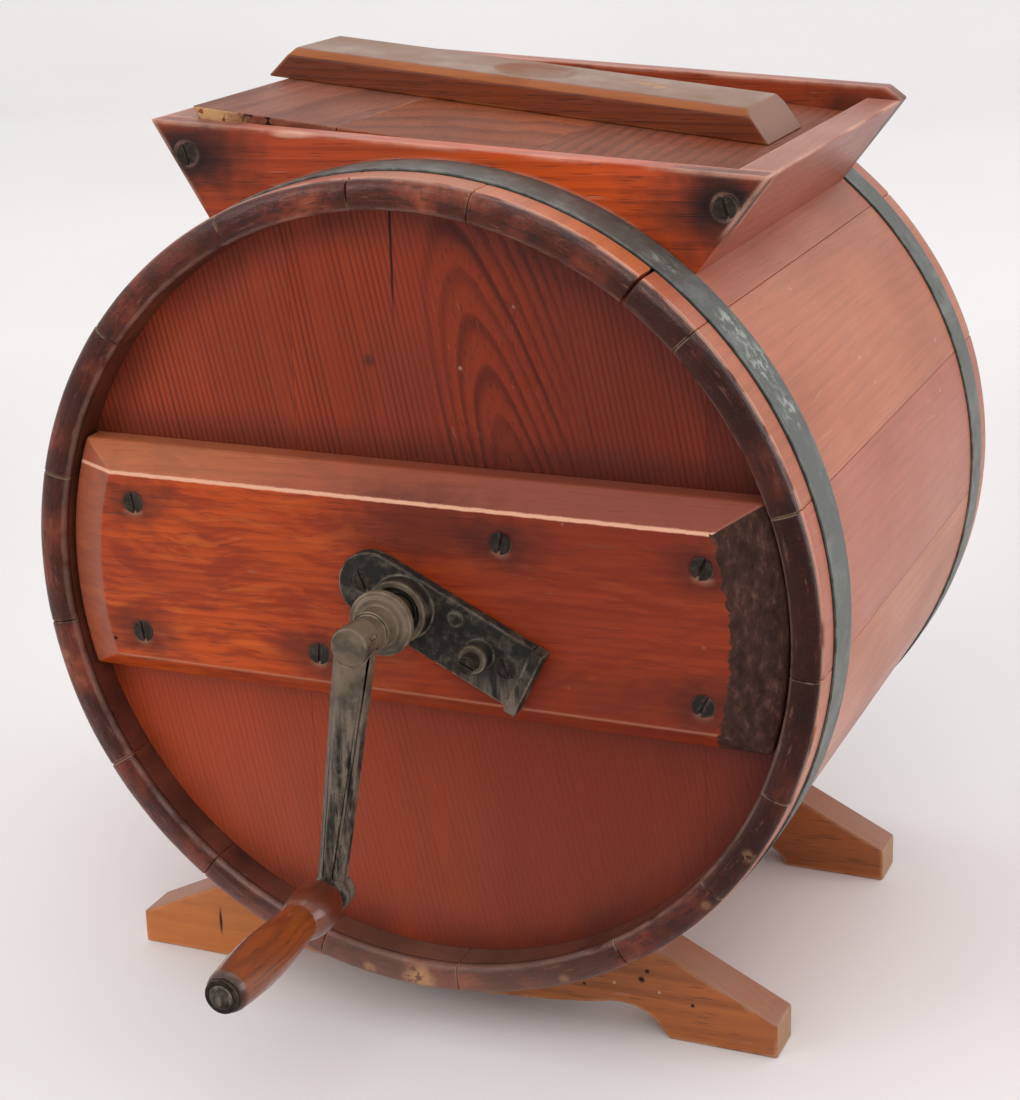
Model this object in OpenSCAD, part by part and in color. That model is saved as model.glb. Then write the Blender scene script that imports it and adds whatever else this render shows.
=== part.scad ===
// Table-top butter churn: a staved drum lying on two shaped feet, with a
// flared hopper and lift-off lid on top, and a crank that turns a dasher inside.
// +Z is up, the crank is on the -Y side, and Z = 0 is the table.

/* [Drum] */
// Outside radius of the staved drum
drum_r = 200; // [180:1:220]
// Length of the drum over its rounded stave ends
drum_l = 338; // [320:1:380]
// Thickness of a stave
stave_t = 15; // [13:0.5:17]
// How far each head sits in from the stave ends
head_inset = 20; // [16:1:26]
// Thickness of a head
head_t = 16; // [12:1:18]
// Depth of the groove that holds a head
croze = 4; // [2:0.5:5]
// Gap between neighbouring staves
seam = 0.3; // [0.1:0.1:0.6]
// Height of the drum axis above the table
axis_h = 231; // [228:1:240]

/* [Hoops] */
// Thickness of the hoop iron
hoop_t = 1.2; // [1:0.1:1.6]
// Width of the front hoop
front_hoop_w = 25; // [20:1:28]
// Width of the rear hoop
rear_hoop_w = 21; // [18:1:28]
// Distance from the stave ends to each hoop
hoop_inset = 21; // [18:1:24]

/* [Battens] */
// Height of the cross batten on each head
batten_h = 118; // [100:1:130]
// How far the battens are raised above the drum axis
batten_rise = 6.5; // [0:0.5:10]
// Total thickness of a batten
batten_t = 25; // [22:1:30]
// Width of the bevels along the top and bottom edges
batten_bevel = 12; // [8:1:16]
// Width of the bevels around the curved ends
batten_end_bevel = 23; // [16:1:26]

/* [Hopper] */
// Half width of the hopper across its top
hopper_half = 153.5; // [145:0.5:160]
// Height of the hopper's top edge above the drum axis
hopper_top = 207; // [204:1:215]
// How far the rear end board of the hopper stands above the other boards
hopper_rear_rise = 6; // [3:1:8]
// Slope of the hopper's sides, from upright
flare = 34.4; // [30:0.2:38]
// Thickness of the sloping side boards
side_t = 15; // [12:1:18]
// Thickness of the front and rear boards
hopper_end_t = 13; // [10:1:16]
// Turn of the hopper around the drum, towards +X
hopper_turn = 2.7; // [0:0.1:3]
// Half width of the mouth cut through the top staves
mouth_half = 78; // [60:1:80]

/* [Lid] */
// Thickness of the lid boards
lid_t = 12; // [9:1:14]
// How crooked the lid sits in the hopper
lid_tilt = 2.8; // [2:0.1:3]
// Width of the lid bar
bar_w = 57; // [44:1:62]
// Thickness of the lid bar
bar_t = 16; // [13:1:20]
// Diameter of the finger scoop in the bar
scoop_d = 44; // [34:1:46]

/* [Feet] */
// Half length of a foot
foot_half = 177.5; // [165:0.5:185]
// Thickness of a foot
foot_t = 24; // [20:1:26]
// Height of a foot at its ends
foot_end_h = 18; // [14:1:22]
// Slope of the top of a foot
foot_slope = 26.3; // [24:0.1:28]
// Sideways offset of the feet from under the drum axis
foot_shift = -9; // [-10:1:0]

/* [Crank] */
// Offset of the crank axis from the drum axis, sideways and up
shaft_off = 5; // [0:0.5:6]
// Diameter of the crank shaft
shaft_d = 16; // [14:0.5:18]
// Radius of the crank from shaft to grip
crank_r = 127; // [115:1:135]
// Lean of the hanging crank arm towards -X
crank_lean = 8.6; // [0:0.2:30]
// Distance of the arm in front of the stave ends
arm_reach = 60; // [56:1:66]
// Length of the wooden grip
grip_l = 94; // [85:1:105]

/* [Dasher] */
// Outer radius of the dasher paddles
dasher_r = 148; // [120:1:150]
// Length of the dasher paddles
dasher_l = 216; // [180:1:225]
// Side of the square dasher shaft
dasher_shaft = 38; // [32:1:42]

/* [Hidden] */
$fn = 96;
far = 500;
// Seam angles, clockwise from the top as seen from the crank side. Stave i runs
// from seam i to the next one, and the last one is cut through by the mouth.
seams = [11.5, 35.7, 45.1, 71, 93.5, 111.5, 129, 147, 174, 196, 217, 238, 261, 284, 308, 333.5,
    354];
stub = len(seams) - 1;

drum_in = drum_r - stave_t;
nose_r = stave_t / 2 - 0.3;
croze_r = drum_in + croze;
front_head_y = head_inset;
rear_head_y = drum_l - head_inset - head_t;

batten_gap = 1.6;
batten_r = drum_in - batten_gap;
batten_foot = 11.8;
batten_face_y = head_inset - batten_t;
// Screws of a batten, sideways and above the drum axis
batten_screw_at = [[-139.5, 39], [-139.5, -27], [52, 38.6], [-43, -26.6], [147, 37], [148, -27.5]];

hopper_y0 = hoop_inset + front_hoop_w + 1;
hopper_y1 = drum_l - hoop_inset - rear_hoop_w - 4;
side_w = side_t / cos(flare);
hopper_shift = -2.5;
// Clearance between the cut ends of the top staves and the hopper's end boards
ledge = 0.5;

lid_gap = 1.3;
lid_l = hopper_y1 - hopper_y0 - 2 * (hopper_end_t + lid_gap);
lid_y0 = hopper_y0 + hopper_end_t + lid_gap;
lid_half = 134;
lid_bevel = 38;
lid_x = -4.65;
lid_top = hopper_top - 1.25;
lid_joints = [-lid_half, -57, 36, lid_half];
bar_y0 = 159;
bar_end = 14;
bar_x = [-145.5, 124.5];
bar_edge = 4;
scoop_x = -9;
scoop_depth = 6;
lid_screw_at = [-120, -75, -35, 15, 60, 105];

foot_y = [hopper_y0 + 0.5, 251];
foot_pad = 56;
arch_x = 96;
arch_h = 15.4;
belly_h = 6;
foot_screw_x = 62;

plate_turn = 26;
plate_t = 6;
plate_w = 33;
plate_end = [-18, 70];
plate_screw_at = [-22.5, 56];
plate_y = batten_face_y - plate_t;
boss_d = 30;
boss_h = 9;
rib_h = 4;
rib_w = 6;
stud_at = 42;
bore_gap = 0.05;
hole_gap = 0.5;

collar_d = 31;
collar_y = -30;
collar_t = 7;
pin_d = 8;
arm_t = 12;
grip_y0 = -arm_reach - arm_t / 2 - 1.5;
grip_tip = grip_y0 - grip_l - 5;
washer_t = 1.5;
end_play = 0.3;
washer_y = grip_y0 - grip_l - end_play - washer_t;
tang = 12;
tang_l = 28;

dasher_y0 = (front_head_y + head_t + rear_head_y - dasher_l) / 2;
pivot_d = 10;
pivot_plate_t = 8;
paddle_t = 12;
paddle_count = 4;
paddle_hole_d = 24;

no12_head = 11;
no12_shank = 5.4;

rear_tip = drum_l - head_inset + batten_t;
mid_y = (grip_tip + rear_tip) / 2;

// Moves a shape from the drum's own frame, with its axis at the origin and the
// front stave ends at Y = 0, to its place above the table.
module placed() {
    translate([0, -mid_y, axis_h]) children();
}

// Turns a shape drawn around Z so that its axis runs along +Y.
module along_y() {
    rotate([-90, 0, 0]) children();
}

// A rod along +Y.
module rod_y(d, y0, y1, x = 0, z = 0) {
    translate([x, y0, z]) along_y() cylinder(d = d, h = y1 - y0);
}

// Draws an outline given in X and Z, and gives it a thickness along Y.
module slab_xz(y0, y1) {
    translate([0, y1, 0]) rotate([90, 0, 0]) linear_extrude(y1 - y0) children();
}

// A countersunk wood screw with its head's face at the origin, driven along +Z.
module wood_screw(l, head = no12_head, shank = no12_shank, slot = true) {
    difference() {
        union() {
            cylinder(d1 = head, d2 = shank, h = (head - shank) / 2);
            cylinder(d = shank, h = l);
        }
        if (slot) translate([-head, -0.7, -1]) cube([2 * head, 1.4, 2.2]);
    }
}

// ---- Drum ----

// Section of a stave: distance from the axis along X, length along Y.
module stave_section() {
    difference() {
        union() {
            translate([drum_in, nose_r]) square([2 * nose_r, drum_l - 2 * nose_r]);
            translate([drum_in, nose_r + 0.8]) square([stave_t, drum_l - 2 * nose_r - 1.6]);
            for (y = [nose_r, drum_l - nose_r]) translate([drum_in + nose_r, y]) circle(nose_r);
        }
        for (y = [front_head_y, rear_head_y])
            translate([drum_in - 1, y]) square([croze + 1, head_t]);
    }
}

// The mouth that the hopper opens into.
module mouth() {
    rotate([0, hopper_turn, 0])
        translate([hopper_shift - mouth_half, hopper_y0 + hopper_end_t + ledge, 0])
            cube([2 * mouth_half, hopper_y1 - hopper_y0 - 2 * (hopper_end_t + ledge), far]);
}

module stave(i) {
    from = seams[i];
    to = i == stub ? seams[0] + 360 : seams[i + 1];
    gap = seam / drum_r * 180 / PI;
    difference() {
        along_y() rotate([0, 0, from - 90 + gap / 2])
            rotate_extrude(angle = to - from - gap) stave_section();
        if (i == 0 || i >= stub - 1) mouth();
        if (i >= 6 && i <= 10) foot_screw_set(false);
    }
}

module stave_node(i) {
    color(i % 2 == 0 ? "#7c3522" : "#863b25") placed() stave(i);
}

module stave_stub_front() {
    color("#7c3522") placed() intersection() {
        stave(stub);
        translate([-far / 2, -1, 0]) cube([far, drum_l / 2, far]);
    }
}

module stave_stub_rear() {
    color("#7c3522") placed() intersection() {
        stave(stub);
        translate([-far / 2, drum_l / 2, 0]) cube([far, drum_l, far]);
    }
}

// One of the three upright boards of a head.
module head_board(y, x0, x1) {
    intersection() {
        rod_y(2 * croze_r, y, y + head_t);
        translate([x0, y - 1, -far / 2]) cube([x1 - x0, head_t + 2, far]);
    }
}

module front_head(x0, x1) {
    color("#8a3a26") placed() difference() {
        head_board(front_head_y, x0, x1);
        batten_screw_set(false);
        rod_y(shaft_d + 2 * hole_gap, 0, far, shaft_off, shaft_off);
    }
}

module rear_head(x0, x1) {
    color("#7f3825") placed() difference() {
        head_board(rear_head_y, x0, x1);
        at_rear() batten_screw_set(false);
        pivot_screw_set(false);
        rod_y(pivot_d + 2 * hole_gap, 0, rear_head_y + head_t - 5, shaft_off, shaft_off);
    }
}

// ---- Hoops ----

lap_from = 208;
lap_angle = 13;

module hoop(y, w) {
    color("#3f4340") placed() {
        difference() {
            rod_y(2 * (drum_r + hoop_t), y, y + w);
            rod_y(2 * drum_r, y - 1, y + w + 1);
        }
        along_y() rotate([0, 0, lap_from - 90]) rotate_extrude(angle = lap_angle)
            translate([drum_r + hoop_t, y]) square([hoop_t, w]);
    }
}

module front_hoop() {
    hoop(hoop_inset, front_hoop_w);
}

module rear_hoop() {
    hoop(drum_l - hoop_inset - rear_hoop_w, rear_hoop_w);
}

module hoop_rivets() {
    // The heads stand a hair off the strap, so that they don't cut into it
    seat_r = drum_r + 2 * hoop_t + 0.2;
    color("#34332f") placed() difference() {
        for (y = [hoop_inset + front_hoop_w / 2, drum_l - hoop_inset - rear_hoop_w / 2])
            for (a = [lap_from + 3, lap_from + lap_angle - 3])
                rotate([0, a, 0]) translate([0, y, seat_r - 0.2]) rivet_head(7, 1.5);
        rod_y(2 * seat_r, -1, drum_l + 1);
    }
}

// A low domed head standing on the XY plane.
module rivet_head(d, h) {
    ball_r = (d * d / 4 + h * h) / (2 * h);
    intersection() {
        translate([0, 0, h - ball_r]) sphere(ball_r);
        cylinder(d = d + 1, h = h + 1);
    }
}

// ---- Battens ----

module batten_section() {
    face = batten_face_y;
    step = head_inset - batten_foot;
    top = batten_rise + batten_h / 2;
    low = batten_rise - batten_h / 2;
    polygon([[head_inset, low], [step, low], [face, low + batten_bevel], [face, top - batten_bevel],
        [step, top], [head_inset, top]]);
}

module batten() {
    step = head_inset - batten_foot;
    difference() {
        intersection() {
            translate([-far / 2, 0, 0]) rotate([90, 0, 90]) linear_extrude(far) batten_section();
            union() {
                rod_y(2 * batten_r, step, head_inset);
                translate([0, batten_face_y, 0]) along_y()
                    cylinder(r1 = batten_r - batten_end_bevel, r2 = batten_r,
                        h = step - batten_face_y);
            }
        }
        batten_screw_set(false);
    }
}

module batten_screw_set(slot) {
    for (p = batten_screw_at)
        translate([p[0], batten_face_y, p[1]]) along_y()
            rotate([0, 0, p[0] * 2]) wood_screw(36, slot = slot);
}

// Mirrors a shape from the front head to the rear head.
module at_rear() {
    translate([0, drum_l, 0]) mirror([0, 1, 0]) children();
}

module front_batten() {
    color("#a04a26") placed() difference() {
        batten();
        rod_y(shaft_d + 2 * hole_gap, -far, far, shaft_off, shaft_off);
        plate_place() plate_screw_set(false);
    }
}

module rear_batten() {
    color("#94452a") placed() at_rear() batten();
}

module batten_screws() {
    color("#4a4038") placed() {
        batten_screw_set(true);
        at_rear() batten_screw_set(true);
    }
}

// ---- Hopper ----

// Places a shape in the hopper's frame, turned around the drum's axis.
module hopper_place() {
    rotate([0, hopper_turn, 0]) translate([hopper_shift, 0, 0]) children();
}

// Half width of the hopper's outside at a given height.
function hopper_w(z) = hopper_half - (hopper_top - z) * tan(flare);

hopper_low = hopper_top - 66;
// Width of the sloping shoulder at each end of a raised board
hopper_shoulder = 9;

module hopper_end(y, rise) {
    flat = hopper_half - hopper_shoulder;
    raised = rise > 0 ? [[flat, hopper_top + rise], [-flat, hopper_top + rise]] : [];
    difference() {
        hopper_place() slab_xz(y, y + hopper_end_t)
            polygon(concat([[-hopper_w(hopper_low), hopper_low],
                [hopper_w(hopper_low), hopper_low], [hopper_half, hopper_top]], raised,
                [[-hopper_half, hopper_top]]));
        rod_y(2 * drum_r, -1, drum_l);
        hopper_screw_set(false);
    }
}

module hopper_side(s) {
    low = hopper_w(hopper_low);
    difference() {
        hopper_place() slab_xz(hopper_y0 + hopper_end_t, hopper_y1 - hopper_end_t)
            polygon([[s * (low - side_w), hopper_low], [s * low, hopper_low],
                [s * hopper_half, hopper_top], [s * (hopper_half - side_w), hopper_top]]);
        rod_y(2 * drum_r, -1, drum_l);
        hopper_screw_set(false);
    }
}

module hopper_screw_set(slot) {
    drop = 15;
    x = hopper_w(hopper_top - drop) - side_w / 2;
    hopper_place() for (s = [-1, 1])
        translate([s * x, 0, hopper_top - drop]) {
            translate([0, hopper_y0, 0]) along_y() rotate([0, 0, 70]) wood_screw(34, slot = slot);
            translate([0, hopper_y1, 0]) rotate([90, 0, 0]) wood_screw(34, slot = slot);
        }
}

module hopper_front() {
    color("#a3401f") placed() hopper_end(hopper_y0, 0);
}

module hopper_rear() {
    color("#93401f") placed() hopper_end(hopper_y1 - hopper_end_t, hopper_rear_rise);
}

module hopper_left() {
    color("#8a4026") placed() hopper_side(-1);
}

module hopper_right() {
    color("#8f4a34") placed() hopper_side(1);
}

module hopper_screws() {
    color("#4a4038") placed() hopper_screw_set(true);
}

// ---- Lid ----

// Places a shape drawn on the lid: X across, Y along the drum, Z = 0 the top face.
module lid_place() {
    placed() hopper_place() translate([lid_x, 0, lid_top]) rotate([0, lid_tilt, 0]) children();
}

module lid_boards() {
    run = lid_t * tan(lid_bevel);
    slab_xz(lid_y0, lid_y0 + lid_l)
        polygon([[-lid_half, 0], [lid_half, 0], [lid_half - run, -lid_t], [run - lid_half, -lid_t]]);
}

module lid_board(i) {
    color(i == 1 ? "#85492c" : "#74402c") lid_place() difference() {
        intersection() {
            lid_boards();
            translate([lid_joints[i] + (i > 0 ? seam : 0), 0, -far / 2])
                cube([lid_joints[i + 1] - lid_joints[i] - (i > 0 ? seam : 0), far, far]);
        }
        lid_screw_set(false);
    }
}

module lid_bar() {
    ball_r = (scoop_d * scoop_d / 4 + scoop_depth * scoop_depth) / (2 * scoop_depth);
    color("#8a6043") lid_place() difference() {
        intersection() {
            slab_xz(bar_y0, bar_y0 + bar_w)
                polygon([[bar_x[0], 0], [bar_x[1], 0], [bar_x[1] - bar_end, bar_t],
                    [bar_x[0] + bar_end, bar_t]]);
            translate([-far / 2, bar_y0, 0]) rotate([90, 0, 90]) linear_extrude(far)
                polygon([[0, 0], [bar_w, 0], [bar_w, bar_t - bar_edge], [bar_w - bar_edge, bar_t],
                    [bar_edge, bar_t], [0, bar_t - bar_edge]]);
        }
        translate([scoop_x, bar_y0 + bar_w / 2, bar_t - scoop_depth + ball_r]) sphere(ball_r);
        lid_screw_set(false);
    }
}

module lid_screw_set(slot) {
    for (i = [0 : len(lid_screw_at) - 1])
        translate([lid_screw_at[i], bar_y0 + bar_w * (i % 2 == 0 ? 0.3 : 0.7), -lid_t])
            wood_screw(19, 8, 4, slot);
}

module lid_screws() {
    color("#4a4038") lid_place() lid_screw_set(true);
}

// ---- Feet ----

// Outline of a foot, with the table at Y = 0.
module foot_outline() {
    arch_r = (pow(foot_half - foot_pad - arch_x, 2) + arch_h * arch_h) / (2 * arch_h);
    belly_r = (arch_x * arch_x + pow(arch_h - belly_h, 2)) / (2 * (arch_h - belly_h));
    rise = (foot_half - foot_screw_x) * tan(foot_slope);
    difference() {
        polygon([[-foot_half, 0], [foot_half, 0], [foot_half, foot_end_h],
            [foot_screw_x, foot_end_h + rise], [-foot_screw_x, foot_end_h + rise],
            [-foot_half, foot_end_h]]);
        translate([-foot_shift, axis_h]) circle(drum_r, $fn = 360);
        for (s = [-1, 1]) translate([s * arch_x, arch_h - arch_r]) circle(arch_r);
        difference() {
            translate([-arch_x, -1]) square([2 * arch_x, arch_h + 1]);
            translate([0, belly_h + belly_r]) circle(belly_r, $fn = 360);
        }
    }
}

module foot(y) {
    difference() {
        translate([foot_shift, 0, -axis_h]) slab_xz(y, y + foot_t) foot_outline();
        foot_screw_set(false);
    }
}

module foot_screw_set(slot) {
    for (y = foot_y) for (s = [-1, 1])
        translate([foot_shift + s * foot_screw_x, y + foot_t / 2, belly_h + 4 - axis_h])
            wood_screw(42, slot = slot);
}

module front_foot() {
    color("#a4602f") placed() foot(foot_y[0]);
}

module rear_foot() {
    color("#9a582c") placed() foot(foot_y[1]);
}

module foot_screws() {
    color("#4a4038") placed() foot_screw_set(true);
}

// ---- Bearings ----

// Places a shape on the front batten: the crank axis at the origin, the plate's
// long side along X, and +Z pointing into the drum from the batten's face.
module plate_place() {
    translate([shaft_off, batten_face_y, shaft_off]) rotate([0, plate_turn, 0]) along_y() children();
}

module plate_screw_set(slot) {
    for (x = plate_screw_at)
        translate([x, 0, -plate_t]) rotate([0, 0, 40]) wood_screw(24, 10.5, 5, slot);
}

module bearing_plate() {
    color("#3a3b38") placed() plate_place() difference() {
        union() {
            translate([0, 0, -plate_t]) {
                translate([plate_end[0], 0, 0]) cylinder(d = plate_w, h = plate_t);
                translate([plate_end[0], -plate_w / 2, 0])
                    cube([plate_end[1] - plate_end[0], plate_w, plate_t]);
            }
            translate([plate_end[1] - rib_w, -plate_w / 2 - 0.5, -plate_t - rib_h])
                cube([rib_w, plate_w + 1, plate_t + rib_h]);
            translate([0, 0, -plate_t - boss_h]) cylinder(d = boss_d, h = boss_h + 1);
            translate([stud_at, 0, -plate_t - 9]) cylinder(d = 13.5, h = 10);
            translate([25, -9, -plate_t - 1.5]) cylinder(d = 7, h = 2);
        }
        translate([0, 0, -far / 2]) cylinder(d = shaft_d + 2 * bore_gap, h = far);
        translate([0, 0, -plate_t - boss_h - 1]) cylinder(d = boss_d - 6, h = 5);
        translate([stud_at, 0, -far / 2]) cylinder(d = 6, h = far);
        plate_screw_set(false);
    }
}

module bearing_screws() {
    color("#3d372f") placed() {
        plate_place() plate_screw_set(true);
        pivot_screw_set(true);
    }
}

// The slotted screw in the stud beside the bearing.
module set_screw() {
    l = 7;
    color("#5b554a") placed() plate_place() translate([stud_at, 0, -plate_t - 9]) difference() {
        union() {
            translate([0, 0, -l]) cylinder(d = 8.5, h = l);
            translate([0, 0, -l]) cylinder(d = 6, h = l + 12);
        }
        translate([-9, -0.6, -l - 1]) cube([18, 1.2, 2.6]);
    }
}

module pivot_screw_set(slot) {
    for (a = [30, 150, 270])
        translate([shaft_off, rear_head_y - pivot_plate_t, shaft_off]) rotate([0, a, 0])
            translate([15, 0, 0]) along_y() wood_screw(18, 8, 4, slot);
}

// Plate inside the rear head that the dasher's pivot turns in.
module pivot_plate() {
    color("#3a3b38") placed() difference() {
        rod_y(46, rear_head_y - pivot_plate_t, rear_head_y, shaft_off, shaft_off);
        rod_y(pivot_d + 2 * bore_gap, 0, drum_l, shaft_off, shaft_off);
        pivot_screw_set(false);
    }
}

// ---- Crank ----

// Places a shape on the crank axis, with the arm hanging along -Z.
module crank_place() {
    placed() translate([shaft_off, 0, shaft_off]) rotate([0, crank_lean, 0]) children();
}

// An eight-sided section of the arm at one height.
module arm_section(z, w, t) {
    cut = 0.3;
    translate([0, -arm_reach, z]) linear_extrude(0.1)
        polygon([for (s = [[1, 0], [0, 1], [-1, 0], [0, -1]]) for (k = [-1, 1])
            s[1] == 0 ? [s[0] * w / 2, k * s[0] * t / 2 * (1 - 2 * cut)]
                : [-k * s[1] * w / 2 * (1 - 2 * cut), s[1] * t / 2]]);
}

module crank() {
    neck_y = collar_y - collar_t;
    color("#41423e") crank_place() difference() {
        union() {
            rod_y(shaft_d, -arm_reach, dasher_y0 - 4);
            rod_y(collar_d, neck_y + 1.5, collar_y - 1.5);
            rod_y(collar_d - 5, neck_y, collar_y);
            rod_y(19, neck_y - 9, neck_y);
            translate([0, -arm_reach - 7, 0]) along_y() cylinder(d = 18, h = 14);
            hull() {
                arm_section(4, 17, 14);
                arm_section(4 - crank_r, 13, arm_t);
            }
            rod_y(19, -arm_reach - arm_t / 2, -arm_reach + arm_t / 2, 0, -crank_r);
            rod_y(pin_d, washer_y - 0.5, -arm_reach, 0, -crank_r);
            translate([0, washer_y, -crank_r]) rotate([90, 0, 0])
                rivet_head(12, washer_y - grip_tip);
            translate([-tang / 2, dasher_y0 - 5, -tang / 2]) cube([tang, tang_l + 5, tang]);
        }
    }
}

// Radius of the turned grip at a share t of its length, from the arm outwards.
function grip_radius(t) =
    t < 0.26 ? 12 * sqrt(max(0.12, 1 - pow((t - 0.125) / 0.14, 2) * 0.42))
    : t < 0.4 ? 9.1 + 0.9 * (1 - cos((t - 0.26) / 0.14 * 90))
    : t < 0.94 ? 10 + 1.4 * sin((t - 0.4) / 0.54 * 180)
    : 10 * sqrt(max(0.2, 1 - pow((t - 0.94) / 0.06, 2) * 0.3));

module grip() {
    steps = 48;
    color("#9a5226") crank_place() translate([0, grip_y0, -crank_r]) rotate([90, 0, 0])
        rotate_extrude() polygon(concat(
            [[pin_d / 2 + bore_gap, 0]],
            [for (i = [0 : steps]) [grip_radius(i / steps), i / steps * grip_l]],
            [[pin_d / 2 + bore_gap, grip_l]]));
}

module grip_washer() {
    color("#34332f") crank_place() difference() {
        rod_y(16, washer_y, washer_y + washer_t, 0, -crank_r);
        rod_y(pin_d, -far, far, 0, -crank_r);
    }
}

// ---- Dasher ----

// Places a shape on the dasher: its length along +Y, its first paddle along +X.
module dasher_place() {
    placed() translate([shaft_off, dasher_y0, shaft_off]) rotate([0, 45, 0]) children();
}

module dasher_pin_set() {
    for (i = [0 : paddle_count - 1]) rotate([0, i * 360 / paddle_count, 0])
        for (y = [dasher_l * 0.18, dasher_l * 0.82])
            translate([tang, y, 0]) rotate([0, 90, 0]) cylinder(d = 6, h = 34);
}

module dasher_shaft() {
    half = dasher_shaft / 2;
    color("#b08a5c") dasher_place() difference() {
        translate([-half, -4, -half]) cube([dasher_shaft, dasher_l + 8, dasher_shaft]);
        rotate([0, crank_lean - 45, 0])
            translate([-tang / 2, -5, -tang / 2]) cube([tang, tang_l + 5, tang]);
        rod_y(pivot_d, dasher_l - 30, dasher_l + 10);
        dasher_pin_set();
    }
}

module dasher_pivot() {
    color("#41423e") placed()
        rod_y(pivot_d, dasher_y0 + dasher_l - 30, rear_head_y + 6, shaft_off, shaft_off);
}

module dasher_pins() {
    color("#b08a5c") dasher_place() dasher_pin_set();
}

module dasher_paddle(i) {
    half = dasher_shaft / 2;
    reach = dasher_r - half;
    color("#b8925f") dasher_place() difference() {
        rotate([0, i * 360 / paddle_count, 0]) difference() {
            translate([half, 0, -paddle_t / 2]) cube([reach, dasher_l, paddle_t]);
            for (c = [0 : 3]) for (r = [0, 1])
                translate([half + reach * (0.42 + 0.34 * r), dasher_l * (c + 0.5) / 4, -paddle_t])
                    cylinder(d = paddle_hole_d, h = 2 * paddle_t);
        }
        dasher_pin_set();
    }
}

stave_node(0);  // stave_1
stave_node(1);  // stave_2
stave_node(2);  // stave_3
stave_node(3);  // stave_4
stave_node(4);  // stave_5
stave_node(5);  // stave_6
stave_node(6);  // stave_7
stave_node(7);  // stave_8
stave_node(8);  // stave_9
stave_node(9);  // stave_10
stave_node(10);  // stave_11
stave_node(11);  // stave_12
stave_node(12);  // stave_13
stave_node(13);  // stave_14
stave_node(14);  // stave_15
stave_node(15);  // stave_16
stave_stub_front();
stave_stub_rear();
front_head(-far, -62);  // front_head_left
front_head(-62, 141);  // front_head_middle
front_head(141, far);  // front_head_right
rear_head(-far, -70);  // rear_head_left
rear_head(-70, 64);  // rear_head_middle
rear_head(64, far);  // rear_head_right
front_hoop();
rear_hoop();
hoop_rivets();
front_batten();
rear_batten();
batten_screws();
hopper_front();
hopper_rear();
hopper_left();
hopper_right();
hopper_screws();
front_foot();
rear_foot();
foot_screws();
bearing_plate();
bearing_screws();
set_screw();
pivot_plate();
crank();
grip();
grip_washer();
dasher_shaft();
dasher_pivot();
dasher_pins();
dasher_paddle(0);  // dasher_paddle_1
dasher_paddle(1);  // dasher_paddle_2
dasher_paddle(2);  // dasher_paddle_3
dasher_paddle(3);  // dasher_paddle_4
lid_board(0);  // lid_left
lid_board(1);  // lid_middle
lid_board(2);  // lid_right
lid_bar();
lid_screws();
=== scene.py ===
"""Looks of a table-top butter churn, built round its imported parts.

In metres, except where a comment says millimetres.
"""
import math

import bmesh
import bpy
from mathutils import Euler, Matrix, Vector, noise


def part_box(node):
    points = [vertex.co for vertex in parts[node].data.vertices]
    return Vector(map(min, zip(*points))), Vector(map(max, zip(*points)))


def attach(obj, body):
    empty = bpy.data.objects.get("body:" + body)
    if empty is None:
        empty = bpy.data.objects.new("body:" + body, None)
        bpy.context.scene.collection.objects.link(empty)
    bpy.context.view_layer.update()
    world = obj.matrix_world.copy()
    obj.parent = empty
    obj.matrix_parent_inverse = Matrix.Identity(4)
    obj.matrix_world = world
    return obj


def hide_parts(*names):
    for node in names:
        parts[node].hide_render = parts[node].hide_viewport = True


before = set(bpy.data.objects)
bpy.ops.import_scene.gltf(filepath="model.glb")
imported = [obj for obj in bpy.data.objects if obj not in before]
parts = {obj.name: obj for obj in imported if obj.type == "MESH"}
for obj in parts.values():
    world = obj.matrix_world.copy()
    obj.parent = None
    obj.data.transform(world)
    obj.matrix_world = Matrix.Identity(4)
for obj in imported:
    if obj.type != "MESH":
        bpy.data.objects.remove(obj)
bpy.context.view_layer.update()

# ---- Places and sizes ----

DRUM_AXIS_Z = 0.231
DRUM_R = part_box("front_hoop")[1].x - 0.0012
STAVE_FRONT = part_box("stave_4")[0].y
STAVE_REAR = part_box("stave_4")[1].y

# Angles of the seams between staves, clockwise from the top as seen from the crank
SEAM_DEGREES = [11.5, 35.7, 45.1, 71, 93.5, 111.5, 129, 147, 174, 196, 217, 238, 261, 284, 308,
    333.5, 354]
WHOLE_STAVES = len(SEAM_DEGREES) - 1

# Half the gap at a seam, in millimetres, and the two seams that have opened
CLOSED_SEAM = 0.06
OPEN_SEAMS = {1: 0.75, 16: 0.2}

# The hopper sits a little askew on the drum, and so does the mouth under it
HOPPER_TURN = math.radians(2.7)
MOUTH_LEFT, MOUTH_RIGHT = -0.0805, 0.0755


def from_drum(x, y, z):
    """A point of the drum's own drawing, in millimetres, as a point of the churn."""
    return Vector((x / 1000, STAVE_FRONT + y / 1000, DRUM_AXIS_Z + z / 1000))


def paint(code):
    """A hex colour as the linear colour that a shader takes."""
    shares = [int(code[i:i + 2], 16) / 255 for i in (1, 3, 5)]
    return [s / 12.92 if s <= 0.04045 else ((s + 0.055) / 1.055) ** 2.4 for s in shares] + [1]


# ---- Mesh making ----

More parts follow.
